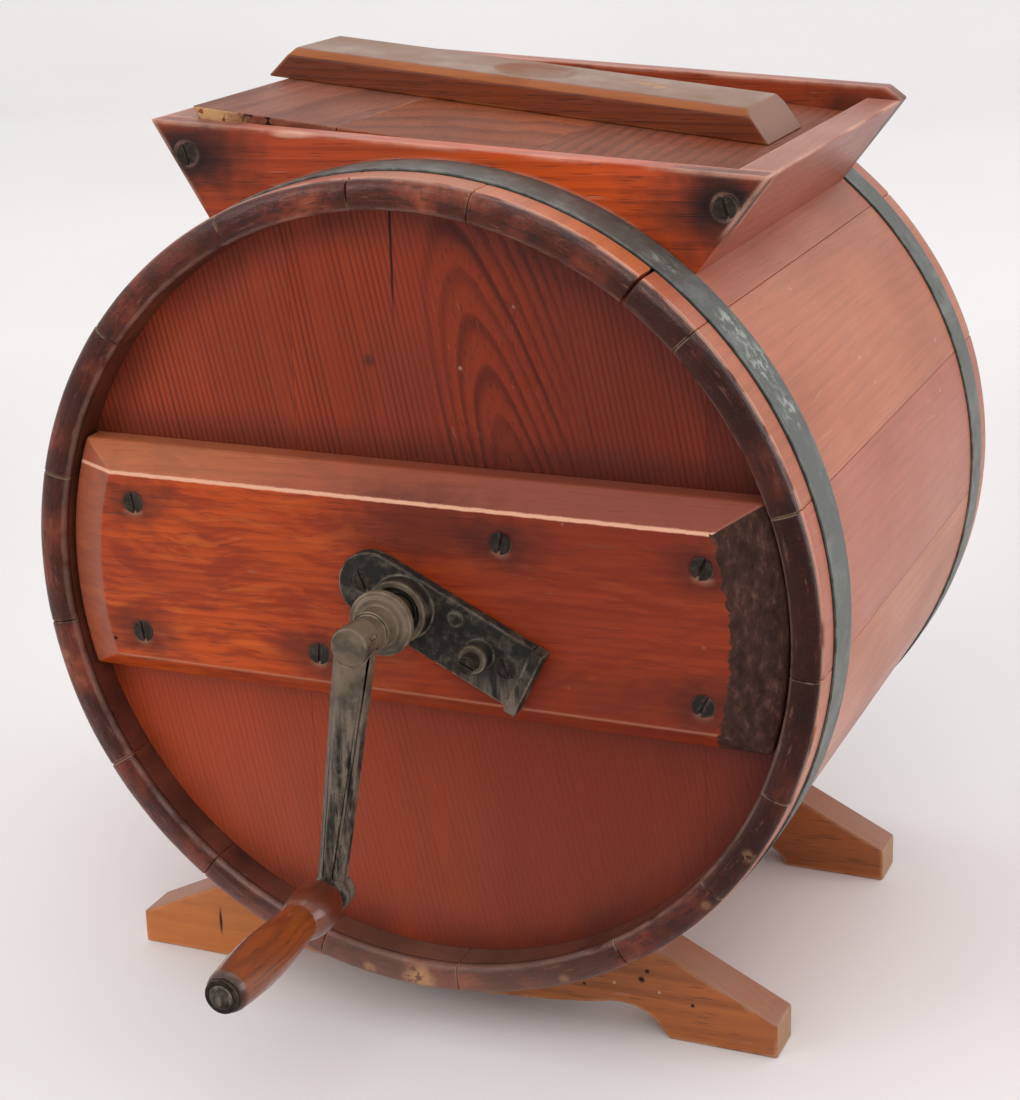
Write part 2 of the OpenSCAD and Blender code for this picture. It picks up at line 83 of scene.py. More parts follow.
def add_piece(name, mesh, body, material, replaced=()):
    """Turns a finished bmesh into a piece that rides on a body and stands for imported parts."""
    bmesh.ops.recalc_face_normals(mesh, faces=mesh.faces)
    for face in mesh.faces:
        face.smooth = True
    data = bpy.data.meshes.new(name)
    mesh.to_mesh(data)
    mesh.free()
    data.materials.append(material)
    piece = bpy.data.objects.new(name, data)
    bpy.context.scene.collection.objects.link(piece)
    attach(piece, body)
    if replaced:
        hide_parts(*replaced)
    return piece


def skin(mesh, rings):
    """Quads through rings of points with the same count, with flat ends."""
    rows = [[mesh.verts.new(p) for p in ring] for ring in rings]
    count = len(rows[0])
    for a, b in zip(rows, rows[1:]):
        for i in range(count):
            j = (i + 1) % count
            mesh.faces.new((a[i], a[j], b[j], b[i]))
    mesh.faces.new(rows[0])
    mesh.faces.new(reversed(rows[-1]))


def clean_shading(piece, weight):
    """Keeps broad faces flat to the eye beside rounded edges."""
    shade = piece.modifiers.new("shade", "WEIGHTED_NORMAL")
    shade.weight = weight
    shade.keep_sharp = True


def carve(piece, low, high, turn, centre):
    """Cuts a box out of a piece, turned about the Y axis through centre."""
    box = bmesh.new()
    bmesh.ops.create_cube(box, size=1.0)
    for v in box.verts:
        for i in range(3):
            v.co[i] = low[i] if v.co[i] < 0 else high[i]
    about_centre = Matrix.Translation(centre) @ Matrix.Rotation(turn, 4, "Y") \
        @ Matrix.Translation(-centre)
    bmesh.ops.transform(box, matrix=about_centre, verts=box.verts)
    data = bpy.data.meshes.new("cutter")
    box.to_mesh(data)
    box.free()
    cutter = bpy.data.objects.new("cutter", data)
    bpy.context.scene.collection.objects.link(cutter)
    cut = piece.modifiers.new("cut", "BOOLEAN")
    cut.object = cutter
    cut.operation = "DIFFERENCE"
    cut.solver = "EXACT"
    bpy.context.view_layer.update()
    seen = piece.evaluated_get(bpy.context.evaluated_depsgraph_get())
    made = bpy.data.meshes.new_from_object(seen)
    piece.modifiers.remove(cut)
    piece.data = made
    bpy.data.objects.remove(cutter)


# ---- Drum staves ----

# One end of a stave's section, from its outside round the nose to its inside. Each point is
# the distance from the drum's axis and from the end, in millimetres.
NOSE = [(200, 24), (200, 12), (200, 6.4), (199.9, 5.4), (199.3, 4.9), (199.0, 4.4), (199.5, 3.8),
    (199.5, 3.0), (198.9, 1.8), (197.6, 0.9), (195.8, 0.35), (193.4, 0.1), (191, 0.15),
    (188.8, 0.5), (187.2, 1.1), (186.1, 2.0), (185.4, 3.2), (185.1, 4.6), (185, 6.5), (185, 12),
    (185, 24)]


def stave_ring(angle, inset, i):
    """The stave's section at an angle in degrees, pulled in by inset at the stave's two sides."""
    a = math.radians(angle)
    out = Vector((math.sin(a), 0, math.cos(a)))
    ring = []
    for end, order in ((0, 1), (1, -1)):
        for r, y in NOSE[::order]:
            reach = r / 1000
            deep = (y if y < 20 else 30) / 1000
            wave = noise.noise(Vector((a * 9 + i, end * 7.3, r * 0.11)))
            slow = noise.noise(Vector((a * 3.1 + 2 * i, end * 4.1, 0.5)))
            if y < 6:
                deep += 0.00035 * wave + 0.00030 * slow + inset * 0.9
            if r > 190:
                reach -= inset * (0.7 if y < 20 else 0.15)
                if y < 6:
                    reach -= 0.00025 * (1 + slow)
            else:
                reach += inset * 0.4
            line = STAVE_FRONT + deep if end == 0 else STAVE_REAR - deep
            ring.append(Vector((0, line, DRUM_AXIS_Z)) + out * reach)
    return ring


def make_stave(name, i, start, stop, material, replaced, open_start, open_stop):
    """One stave from seam to seam. open_start and open_stop are half the gaps at its sides."""
    per_mm = 180 / math.pi / NOSE[0][0]    # degrees in a millimetre of the drum's outside
    soft = 0.9
    start += open_start * per_mm
    stop -= open_stop * per_mm
    steps = max(4, round((stop - start) / 1.4))
    rings = [stave_ring(start, 0.0008, i), stave_ring(start + soft * 0.3 * per_mm, 0.0003, i)]
    first, last = start + soft * per_mm, stop - soft * per_mm
    rings += [stave_ring(first + (last - first) * k / steps, 0.0, i) for k in range(steps + 1)]
    rings += [stave_ring(stop - soft * 0.3 * per_mm, 0.0003, i), stave_ring(stop, 0.0008, i)]
    mesh = bmesh.new()
    skin(mesh, rings)
    return add_piece(name, mesh, "churn", material, replaced)


def make_staves():
    """All the staves, with the mouth cut out of the three that lie under the hopper."""
    gaps = [OPEN_SEAMS.get(i, CLOSED_SEAM) for i in range(len(SEAM_DEGREES))]
    clear = 0.0004
    low = (MOUTH_LEFT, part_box("hopper_front")[1].y + clear, 0.3)
    high = (MOUTH_RIGHT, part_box("hopper_rear")[0].y - clear, 0.6)
    axis = Vector((0, 0, DRUM_AXIS_Z))
    made = []
    for i in range(WHOLE_STAVES):
        start, stop = SEAM_DEGREES[i], SEAM_DEGREES[i + 1]
        material = stave_wood(f"stave_wood_{i + 1}", (start + stop) / 2, i)
        made.append(make_stave(f"drum_stave_{i + 1}", i, start, stop, material,
            (f"stave_{i + 1}",), gaps[i], gaps[i + 1]))
    middle = (SEAM_DEGREES[-1] + SEAM_DEGREES[0] - 360) / 2
    material = stave_wood("stave_wood_17", middle, WHOLE_STAVES)
    made.append(make_stave("drum_stave_stubs", WHOLE_STAVES, SEAM_DEGREES[-1],
        SEAM_DEGREES[0] + 360, material, ("stave_stub_front", "stave_stub_rear"), gaps[-1], gaps[0]))
    for piece in (made[0], made[-2], made[-1]):
        carve(piece, low, high, HOPPER_TURN, axis)
    for piece in made:
        clean_shading(piece, 60)


# ---- Shader wiring ----

class Bench:
    """Adds shader nodes to one tree and wires them."""

    def __init__(self, tree):
        self.tree = tree

    def feed(self, socket, value):
        """Wires a node or an output into a socket, or sets the socket's own value."""
        if isinstance(value, bpy.types.Node):
            value = value.outputs[0]
        if isinstance(value, bpy.types.NodeSocket):
            self.tree.links.new(value, socket)
        else:
            socket.default_value = value

    def add(self, kind, inputs=None, **settings):
        node = self.tree.nodes.new(kind)
        for name, value in settings.items():
            setattr(node, name, value)
        for name, value in (inputs or {}).items():
            self.feed(node.inputs[name], value)
        return node

    def math(self, operation, a, b=0.0, c=0.0):
        return self.add("ShaderNodeMath", {0: a, 1: b, 2: c}, operation=operation).outputs[0]

    def vector(self, operation, a, b=(0, 0, 0)):
        return self.add("ShaderNodeVectorMath", {0: a, 1: b}, operation=operation).outputs[0]

    def dot(self, a, b):
        node = self.add("ShaderNodeVectorMath", {0: a, 1: b}, operation="DOT_PRODUCT")
        return node.outputs["Value"]

    def length(self, a):
        return self.add("ShaderNodeVectorMath", {0: a}, operation="LENGTH").outputs["Value"]

    def blend(self, factor, a, b, mode="MIX"):
        node = self.add("ShaderNodeMix", {0: factor, 6: a, 7: b}, data_type="RGBA", blend_type=mode)
        return node.outputs[2]

    def step(self, value, low, high, to_low=0.0, to_high=1.0):
        """Goes smoothly from to_low to to_high as value goes from low to high."""
        return self.add("ShaderNodeMapRange", {"Value": value, "From Min": low, "From Max": high,
            "To Min": to_low, "To Max": to_high}, interpolation_type="SMOOTHSTEP").outputs[0]

    def noise(self, vector, scale, detail=2.0, rough=0.5):
        return self.add("ShaderNodeTexNoise", {"Vector": vector, "Scale": scale, "Detail": detail,
            "Roughness": rough}).outputs["Fac"]

    def ramp(self, value, stops, ease="LINEAR"):
        node = self.add("ShaderNodeValToRGB", {0: value})
        points = node.color_ramp.elements
        node.color_ramp.interpolation = ease
        for i, (place, colour) in enumerate(stops):
            point = points[i] if i < len(points) else points.new(place)
            point.position = place
            point.color = colour
        return node.outputs[0]


def grey(value):
    return (value, value, value, 1)


KINDS = {"value": "NodeSocketFloat", "vector": "NodeSocketVector", "colour": "NodeSocketColor"}


def effect(name, inputs, outputs):
    """A new node group: inputs are (name, kind, default) and outputs are (name, kind)."""
    tree = bpy.data.node_groups.new(name, "ShaderNodeTree")
    for label, kind, start in inputs:
        socket = tree.interface.new_socket(label, in_out="INPUT", socket_type=KINDS[kind])
        socket.default_value = start
    for label, kind in outputs:
        tree.interface.new_socket(label, in_out="OUTPUT", socket_type=KINDS[kind])
    return tree, Bench(tree), tree.nodes.new("NodeGroupInput").outputs, \
        tree.nodes.new("NodeGroupOutput").inputs


def make_board_figure():
    """Growth rings, fibres and pores of a board sawn from a log that runs along local Z."""
    tree, b, given, out = effect("board_figure",
        [("Vector", "vector", (0, 0, 0)), ("Turn", "vector", (0, 0, 0)),
         ("Heart", "vector", (0.05, 0.09, 0)), ("Ring Width", "value", 0.005),
         ("Waver", "value", 0.012)],
        [("Rings", "value"), ("Fibre", "value"), ("Pores", "value"), ("Blotch", "value")])
    place = b.add("ShaderNodeMapping", {"Vector": given["Vector"], "Rotation": given["Turn"],
        "Location": given["Heart"]}, vector_type="POINT").outputs[0]
    slow = b.vector("MULTIPLY", place, (1, 1, 0.16))
    drift = b.add("ShaderNodeTexNoise", {"Vector": slow, "Scale": 11, "Detail": 2.0})
    drift = b.vector("SUBTRACT", drift.outputs["Color"], (0.5, 0.5, 0.5))
    scale = b.add("ShaderNodeCombineXYZ", {0: given["Waver"], 1: given["Waver"], 2: 0.0}).outputs[0]
    bent = b.vector("ADD", place, b.vector("MULTIPLY", drift, scale))
    reach = b.length(b.vector("MULTIPLY", bent, (1, 1, 0)))
    count = b.math("DIVIDE", reach, given["Ring Width"])
    count = b.math("ADD", count, b.math("MULTIPLY", b.noise(slow, 34), 0.9))
    share = b.math("FRACT", count)
    ring = b.ramp(share, [(0, grey(0)), (0.35, grey(0.12)), (0.78, grey(1)), (0.9, grey(0.75)),
        (1, grey(0))], "EASE")
    year = b.noise(b.add("ShaderNodeCombineXYZ", {0: b.math("FLOOR", count)}).outputs[0], 3.1)
    b.feed(out["Rings"], b.math("MULTIPLY", ring, b.step(year, 0.3, 0.7, 0.35, 1.0)))
    thin = b.vector("MULTIPLY", place, (1, 1, 0.028))
    b.feed(out["Fibre"], b.noise(thin, 720, 3.0, 0.65))
    dash = b.noise(b.vector("MULTIPLY", place, (1, 1, 0.06)), 980, 1.0)
    b.feed(out["Pores"], b.step(dash, 0.6, 0.7))
    b.feed(out["Blotch"], b.noise(b.vector("MULTIPLY", place, (1, 1, 0.5)), 13, 3.0, 0.55))
    return tree


def make_edge_wear():
    """Where corners have rubbed, broken up by noise."""
    tree, b, given, out = effect("edge_wear",
        [("Vector", "vector", (0, 0, 0)), ("Width", "value", 0.002), ("Scale", "value", 60.0)],
        [("Mask", "value")])
    soft = b.add("ShaderNodeBevel", {"Radius": given["Width"]}, samples=4).outputs[0]
    flat = b.add("ShaderNodeNewGeometry").outputs["Normal"]
    edge = b.step(b.dot(soft, flat), 0.995, 0.93)
    broken = b.step(b.noise(given["Vector"], given["Scale"], 4.0, 0.6), 0.36, 0.62)
    b.feed(out["Mask"], b.math("MULTIPLY", edge, broken))
    return tree


def make_settled_dust():
    """Fine dust on whatever faces up."""
    tree, b, given, out = effect("settled_dust",
        [("Vector", "vector", (0, 0, 0)), ("Scale", "value", 18.0)], [("Mask", "value")])
    lean = b.add("ShaderNodeSeparateXYZ", {0: b.add("ShaderNodeNewGeometry").outputs["Normal"]})
    up = b.step(lean.outputs["Z"], 0.15, 0.95)
    cloud = b.step(b.noise(given["Vector"], given["Scale"], 5.0, 0.6), 0.32, 0.72, 0.25, 1.0)
    b.feed(out["Mask"], b.math("MULTIPLY", up, cloud))
    return tree


def make_round_stain():
    """A stain around a point, drawn out by Stretch."""
    tree, b, given, out = effect("round_stain",
        [("Vector", "vector", (0, 0, 0)), ("Centre", "vector", (0, 0, 0)),
         ("Stretch", "vector", (1, 1, 1)), ("Reach", "value", 0.02)], [("Mask", "value")])
    off = b.vector("MULTIPLY", b.vector("SUBTRACT", given["Vector"], given["Centre"]),
        given["Stretch"])
    ragged = b.math("MULTIPLY", b.math("SUBTRACT", b.noise(given["Vector"], 90, 3.0), 0.5), 0.7)
    share = b.math("ADD", b.math("DIVIDE", b.length(off), given["Reach"]), ragged)
    b.feed(out["Mask"], b.step(share, 1.0, 0.25))
    return tree


def make_specks():
    """Tiny scattered marks, and fine scratches drawn out along local Z."""
    tree, b, given, out = effect("specks",
        [("Vector", "vector", (0, 0, 0)), ("Turn", "vector", (0, 0, 0)),
         ("Spacing", "value", 60.0)], [("Dots", "value"), ("Scratches", "value")])
    cells = b.add("ShaderNodeTexVoronoi", {"Vector": given["Vector"], "Scale": given["Spacing"]})
    near = b.step(cells.outputs["Distance"], 0.075, 0.04)
    chosen = b.step(b.noise(given["Vector"], 23, 1.0), 0.52, 0.6)
    b.feed(out["Dots"], b.math("MULTIPLY", near, chosen))
    turned = b.add("ShaderNodeMapping", {"Vector": given["Vector"], "Rotation": given["Turn"]})
    line = b.noise(b.vector("MULTIPLY", turned, (1, 1, 0.09)), 420, 1.0)
    b.feed(out["Scratches"], b.math("MULTIPLY", b.step(line, 0.69, 0.73),
        b.step(b.noise(given["Vector"], 31, 1.0), 0.5, 0.62)))
    return tree


def make_iron_skin():
    """Old cast or rolled iron: rust bloom, pale rubbed film and pitting."""
    tree, b, given, out = effect("iron_skin",
        [("Vector", "vector", (0, 0, 0)), ("Scale", "value", 70.0)],
        [("Rust", "value"), ("Film", "value"), ("Pits", "value")])
    wide = b.noise(given["Vector"], given["Scale"], 5.0, 0.62)
    b.feed(out["Rust"], b.step(wide, 0.5, 0.68))
    other = b.noise(b.vector("ADD", given["Vector"], (3.1, 1.7, 0.4)), given["Scale"], 6.0, 0.7)
    b.feed(out["Film"], b.step(other, 0.46, 0.7))
    b.feed(out["Pits"], b.noise(given["Vector"], 900, 4.0, 0.7))
    return tree


BOARD_FIGURE = make_board_figure()
EDGE_WEAR = make_edge_wear()
SETTLED_DUST = make_settled_dust()
ROUND_STAIN = make_round_stain()
SPECKS = make_specks()
IRON_SKIN = make_iron_skin()

# Turns that lay a board's length along local Z
ALONG = {"x": (0, -math.pi / 2, 0), "y": (math.pi / 2, 0, 0), "z": (0, 0, 0)}


def put(b, tree, inputs):
    """Places a node group and returns its outputs."""
    node = b.add("ShaderNodeGroup", node_tree=tree)
    for name, value in inputs.items():
        b.feed(node.inputs[name], value)
    return node.outputs


class Finish:
    """A material being built up: colour, roughness and height in layers."""

    def __init__(self, name):
        self.made = bpy.data.materials.new(name)
        self.made.use_nodes = True
        self.made.node_tree.nodes.clear()
        self.b = Bench(self.made.node_tree)
        self.place = self.b.add("ShaderNodeTexCoord").outputs["Object"]
        self.colour = grey(0.5)
        self.rough = 0.5
        self.height = 0.0

    def layer(self, mask, colour, rough=None):
        """Lays a colour, and a roughness if given, where the mask is."""
        self.colour = self.b.blend(mask, self.colour, colour)
        if rough is not None:
            mix = self.b.add("ShaderNodeMix", {0: mask, 2: self.rough, 3: rough}, data_type="FLOAT")
            self.rough = mix.outputs[0]

    def tint(self, mask, share, code, rough=None):
        """Lays a hex colour where the mask is, at a share of its full strength."""
        self.layer(self.b.math("MULTIPLY", mask, share), paint(code), rough)

    def raise_by(self, mask, amount):
        """Adds height, in metres, where the mask is."""
        self.height = self.b.math("MULTIPLY_ADD", mask, amount, self.height)

    def axis(self, name):
        """One coordinate of the place, in metres."""
        split = self.b.add("ShaderNodeSeparateXYZ", {0: self.place})
        return split.outputs[name.upper()]

    def facing(self, name):
        """One part of the surface's own direction."""
        flat = self.b.add("ShaderNodeNewGeometry").outputs["Normal"]
        return self.b.add("ShaderNodeSeparateXYZ", {0: flat}).outputs[name.upper()]

    def band(self, value, low, high, soft):
        """A mask of where value lies from low to high, with soft edges."""
        rise = self.b.step(value, low - soft, low + soft)
        fall = self.b.step(value, high + soft, high - soft)
        return self.b.math("MULTIPLY", rise, fall)

    def all_of(self, *masks):
        """Masks multiplied together."""
        product = masks[0]
        for mask in masks[1:]:
            product = self.b.math("MULTIPLY", product, mask)
        return product

    def stain(self, centre, reach, stretch=(1, 1, 1)):
        """A mask of a stain round a place."""
        return put(self.b, ROUND_STAIN, {"Vector": self.place, "Centre": centre, "Reach": reach,
            "Stretch": stretch})["Mask"]

    def done(self, coat=0.0, coat_rough=0.25, metallic=0.0, shine=0.5):
        """Wires the layers into a shader and returns the material."""
        b = self.b
        lumps = b.add("ShaderNodeBump", {"Strength": 1.0, "Distance": 1.0, "Height": self.height})
        shader = b.add("ShaderNodeBsdfPrincipled", {"Base Color": self.colour,
            "Roughness": self.rough, "Normal": lumps, "Metallic": metallic,
            "Coat Weight": coat, "Coat Roughness": coat_rough, "Specular IOR Level": shine})
        b.add("ShaderNodeOutputMaterial", {"Surface": shader})
        return self.made


def wood(name, light, dark, grain="x", tilt=(0, 0, 0), heart=(0.05, 0.09, 0), ring=0.005,
         waver=0.012, contrast=0.5, edge=None, edge_width=0.0016, dust=0.0, rough=0.42,
         dust_colour="#b49a90", blotch=0.5, pores=0.4):
    """Stained and varnished softwood board. light and dark are the colours of early and late wood."""
    f = Finish(name)
    b = f.b
    turn = [a + t for a, t in zip(ALONG[grain], tilt)]
    figure = put(b, BOARD_FIGURE, {"Vector": f.place, "Turn": turn, "Heart": heart,
        "Ring Width": ring, "Waver": waver})
    f.colour = b.blend(b.math("MULTIPLY", figure["Rings"], contrast), paint(light), paint(dark))
    f.layer(b.step(figure["Blotch"], 0.35, 0.72, 0.0, blotch), paint(dark))
    streak = b.step(figure["Fibre"], 0.3, 0.75, 0.0, 0.36)
    f.colour = b.blend(streak, f.colour, b.blend(1.0, f.colour, grey(0.55), "MULTIPLY"))
    f.tint(figure["Pores"], pores, "#2a130c")
    marks = put(b, SPECKS, {"Vector": f.place, "Turn": turn})
    f.tint(marks["Scratches"], 0.16, "#c9a392")
    f.tint(marks["Dots"], 0.5, "#c8b3a2", 0.7)
    f.rough = b.step(figure["Blotch"], 0.2, 0.8, rough - 0.08, rough + 0.12)
    if edge:
        worn = put(b, EDGE_WEAR, {"Vector": f.place, "Width": edge_width})["Mask"]
        f.tint(worn, 0.8, edge, 0.6)
    if dust:
        settled = put(b, SETTLED_DUST, {"Vector": f.place})["Mask"]
        f.tint(settled, dust, dust_colour, 0.8)
    f.raise_by(figure["Rings"], 0.00012 * contrast)
    f.raise_by(figure["Fibre"], 0.00012)
    f.raise_by(figure["Pores"], -0.00008)
    f.raise_by(marks["Scratches"], -0.00006)
    return f


def iron(name, base, scale=70.0, rust="#4a3226", film="#8d8272", film_share=0.4, rust_share=0.5,
         rough=0.55, edge="#9c9180", edge_width=0.0014):
    """Old ironwork, black with rust and a pale rubbed film."""
    f = Finish(name)
    b = f.b
    skin = put(b, IRON_SKIN, {"Vector": f.place, "Scale": scale})
    f.colour = paint(base)
    f.rough = rough
    f.tint(skin["Rust"], rust_share, rust, 0.8)
    f.tint(skin["Film"], film_share, film, 0.6)
    worn = put(b, EDGE_WEAR, {"Vector": f.place, "Width": edge_width, "Scale": 120.0})["Mask"]
    f.tint(worn, 0.8, edge, 0.45)
    f.raise_by(skin["Pits"], 0.0003)
    f.raise_by(skin["Rust"], 0.00015)
    f.skin = skin
    return f


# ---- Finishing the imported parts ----

def finish_part(name, material, bevel=0.0008):
    """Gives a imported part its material, softened edges and clean shading."""
    part = parts[name]
    part.data.materials.clear()
    part.data.materials.append(material)
    weld = part.modifiers.new("weld", "WELD")
    weld.merge_threshold = 0.00001
    merge = part.modifiers.new("merge_flats", "DECIMATE")
    merge.decimate_type = "DISSOLVE"
    merge.angle_limit = math.radians(0.5)
    if bevel:
        round_off = part.modifiers.new("round_off", "BEVEL")
        round_off.width = bevel
        round_off.segments = 2
        round_off.limit_method = "ANGLE"
        round_off.angle_limit = math.radians(28)
        round_off.use_clamp_overlap = False
    for face in part.data.polygons:
        face.use_smooth = True
    clean_shading(part, 80)


def add_painted_shadow_at_hoops(f):
    """Painted shadow: dark lines where the iron hoops meet the wood."""
    y = f.axis("y")
    for hoop in ("front_hoop", "rear_hoop"):
        low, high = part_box(hoop)
        f.layer(f.band(y, low.y - 0.0014, high.y + 0.001, 0.0004), paint("#120b09"), 0.9)


def from_axis(f):
    """The place as seen from the drum's axis."""
    return f.b.vector("SUBTRACT", f.place, (0, 0, DRUM_AXIS_Z))


def radius_of(f):
    """Distance from the drum's axis."""
    return f.b.length(f.b.vector("MULTIPLY", from_axis(f), (1, 0, 1)))


STAVE_TONES = ["#c06434", "#b65d36", "#bc673e", "#b05634", "#bd663a", "#ae5735"]

# Pale spots where the rim has flaked: the angle, the reach and the strength of each
FLAKED_SPOTS = [(180, 0.011, 0.9), (188, 0.005, 0.6), (157, 0.004, 0.3), (131, 0.004, 0.25),
    (121, 0.005, 0.3), (199, 0.004, 0.3), (256, 0.004, 0.2)]


def stave_wood(name, middle, i):
    """Stave i, orange-brown outside, with a dark worn rim at both ends.

    middle is the angle of the stave's own middle, in degrees.
    """
    heart = (0.05 * math.sin(3.1 * i), 0.33 + 0.013 * i, 0.1 * i)
    ground = STAVE_TONES[i % len(STAVE_TONES)]
    f = wood(name, ground, "#743021", grain="y", tilt=(0.012 * math.sin(i * 2.1), 0, 0), heart=heart,
        ring=0.0042, contrast=0.22, dust=0.12, rough=0.4, blotch=0.3, pores=0.1)
    b = f.b
    y, r = f.axis("y"), radius_of(f)
    cloud = b.noise(f.place, 26, 4.0, 0.6)
    for end, sign in ((STAVE_FRONT, 1), (STAVE_REAR, -1)):
        near = b.math("MULTIPLY", b.math("SUBTRACT", y, end), sign)
        rim = b.step(near, 0.0054, 0.0046)
        tone = b.ramp(cloud, [(0.3, paint("#300d07")), (0.5, paint("#49160b")),
            (0.6, paint("#702912")), (0.72, paint("#94492c"))])
        f.layer(b.math("MULTIPLY", rim, 0.96), tone, 0.34)
        f.tint(f.all_of(rim, b.step(f.axis("x"), 0.09, 0.17)), 0.65, "#2c0b06")
        around = along_rim(f, r)
        scuffs = b.noise(around, 420, 5.0, 0.68)
        f.tint(f.all_of(rim, b.step(scuffs, 0.52, 0.62)), 0.55, "#1d0a07", 0.6)
        f.tint(f.all_of(rim, b.step(scuffs, 0.42, 0.33)), 0.26, "#a2664e", 0.65)
        chips = b.step(b.noise(f.place, 330, 5.0, 0.7), 0.58, 0.64)
        f.tint(f.all_of(rim, chips), 0.4, "#23100c", 0.7)
        f.raise_by(f.all_of(rim, scuffs), 0.0004)
        f.raise_by(f.all_of(rim, b.noise(f.place, 75, 5.0, 0.65)), 0.0011)
        # Painted highlight on the inner slope of the nose, which faces the light
        inner_highlight = f.all_of(b.step(near, 0.006, 0.0045), b.step(r, 0.1874, 0.1862),
            b.step(b.noise(f.place, 70, 3.0), 0.3, 0.55))
        f.tint(inner_highlight, 0.28, "#a78679", 0.6)
        outer = f.all_of(f.band(near, 0.0036, 0.0060, 0.0005), b.step(r, 0.1982, 0.199),
            b.step(b.noise(f.place, 60, 4.0), 0.36, 0.5))
        f.tint(outer, 0.6, "#c89682", 0.6)
    # Painted shade on the inner face of the staves, between the rim and the head
    inside = b.step(r, 0.1856, 0.1851)
    f.layer(f.all_of(inside, b.step(cloud, 0.2, 0.7, 0.95, 0.65)), paint("#35140e"), 0.65)
    for angle, reach, share in FLAKED_SPOTS:
        if abs(angle - middle) < 24:
            turn, ring = math.radians(angle), 195.5
            spot = from_drum(ring * math.sin(turn), 0, ring * math.cos(turn))
            flaked = b.step(b.noise(f.place, 210, 4.0, 0.6), 0.4, 0.48)
            f.tint(f.all_of(f.stain(spot, reach), flaked), share, "#b98a58", 0.8)
    seam_light(f, i)
    # Painted shadow along the edges of both hoops
    add_painted_shadow_at_hoops(f)
    low = b.step(f.axis("z"), 0.075, 0.03)
    f.tint(low, 0.3, "#8c6a58", 0.75)
    return f.done(coat=0.3, coat_rough=0.34)


def along_rim(f, r):
    """The place measured outwards, back and, much shortened, along the rim."""
    b = f.b
    split = b.add("ShaderNodeSeparateXYZ", {0: from_axis(f)})
    angle = b.math("ARCTAN2", split.outputs["X"], split.outputs["Z"])
    return b.add("ShaderNodeCombineXYZ", {0: r, 1: f.axis("y"),
        2: b.math("MULTIPLY", angle, 0.03)}).outputs[0]


def seam_light(f, i):
    """Pale filling along the sides of stave i, where the rim has opened."""
    b = f.b
    for k in (i, i + 1):
        turn = math.radians(SEAM_DEGREES[k % len(SEAM_DEGREES)])
        side = Vector((math.cos(turn), 0, -math.sin(turn)))
        off = b.dot(from_axis(f), side)
        line = b.step(b.math("ABSOLUTE", off), 0.0011, 0.0004)
        rim = b.step(f.axis("y"), STAVE_FRONT + 0.006, STAVE_FRONT + 0.004)
        broken = b.step(b.noise(f.place, 120, 3.0), 0.4, 0.6)
        f.tint(f.all_of(line, rim, broken), 0.4, "#a88a6c", 0.8)


# The ground colour of each head board and a shift of its lines
HEAD_TONES = {"left": ("#a63b11", 0.2), "middle": ("#a2380f", 0.0), "right": ("#a0360e", 0.9)}


def head_wood(name, side):
    """Red-brown upright boards: pointed arches in the middle and fine leaning lines beside them."""
    light, seed = HEAD_TONES[side]
    f = wood(name, light, "#3d110c", grain="z", tilt=(-0.19, 0.29, 0),
        heart=(-0.1345, 0.0179, 0), ring=0.0046, contrast=0.85, waver=0.006, rough=0.44, blotch=0.22)
    b = f.b
    x, z = f.axis("x"), f.axis("z")
    faint = b.step(z, 0.17, 0.25, 0.42, 1.0)
    beside = b.math("MAXIMUM", b.math("SUBTRACT", 1.0, f.band(x, 0.012, 0.075, 0.012)),
        b.step(z, 0.22, 0.2))
    turn = [a + t for a, t in zip(ALONG["z"], (0.03, 0.2, 0))]
    lines = put(b, BOARD_FIGURE, {"Vector": f.place, "Turn": turn, "Heart": (0.31, 0.03, seed),
        "Ring Width": 0.0029, "Waver": 0.009})
    plain = b.blend(f.all_of(lines["Rings"], faint, 0.8), paint(light), paint("#42120c"))
    patchy = b.step(lines["Blotch"], 0.35, 0.7, 0.0, 0.35)
    plain = b.blend(patchy, plain, paint("#5a1f14"))
    f.layer(b.math("MULTIPLY", beside, 0.92), plain)
    f.raise_by(b.math("MULTIPLY", lines["Rings"], beside), 0.00005)
    r = radius_of(f)
    edge = b.math("MULTIPLY", b.step(r, 0.160, 0.186), b.step(b.noise(f.place, 20, 3.0), 0.3, 0.7))
    f.tint(edge, 0.6, "#3a1712", 0.6)
    dust = b.step(z, 0.19, 0.10)
    f.tint(dust, 0.10, "#9b6a58", 0.55)
    # Painted shade: the boards darken towards the right, away from the key light
    shade = b.step(x, -0.14, 0.12)
    f.tint(shade, 0.58, "#4c1108")
    under = f.all_of(b.step(z, 0.318, 0.299), b.step(z, 0.25, 0.26))
    f.tint(under, 0.45, "#2c0f0b", 0.6)
    crack = f.all_of(b.step(b.math("ABSOLUTE", b.math("ADD", x, 0.0085)), 0.0008, 0.0002),
        b.step(z, 0.355, 0.385))
    f.tint(crack, 0.9, "#200b08", 0.8)
    f.raise_by(crack, -0.0006)
    for spot, reach in (((0.128, 0, 0.371), 0.007), ((-0.022, 0, 0.343), 0.004)):
        knot = f.stain((spot[0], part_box("front_head_middle")[0].y, spot[2]), reach)
        f.tint(knot, 0.55, "#2d1a14")
    return f.done(coat=0.18, coat_rough=0.34, shine=0.3)


# Places of a batten's screws across and above the drum's axis, in millimetres
BATTEN_SCREWS = [(-139.5, 39), (-139.5, -27), (52, 38.6), (-43, -26.6), (147, 37), (148, -27.5)]

# Distance from the drum's axis at which a batten's darkened end begins
BATTEN_DARK_END = 0.1595


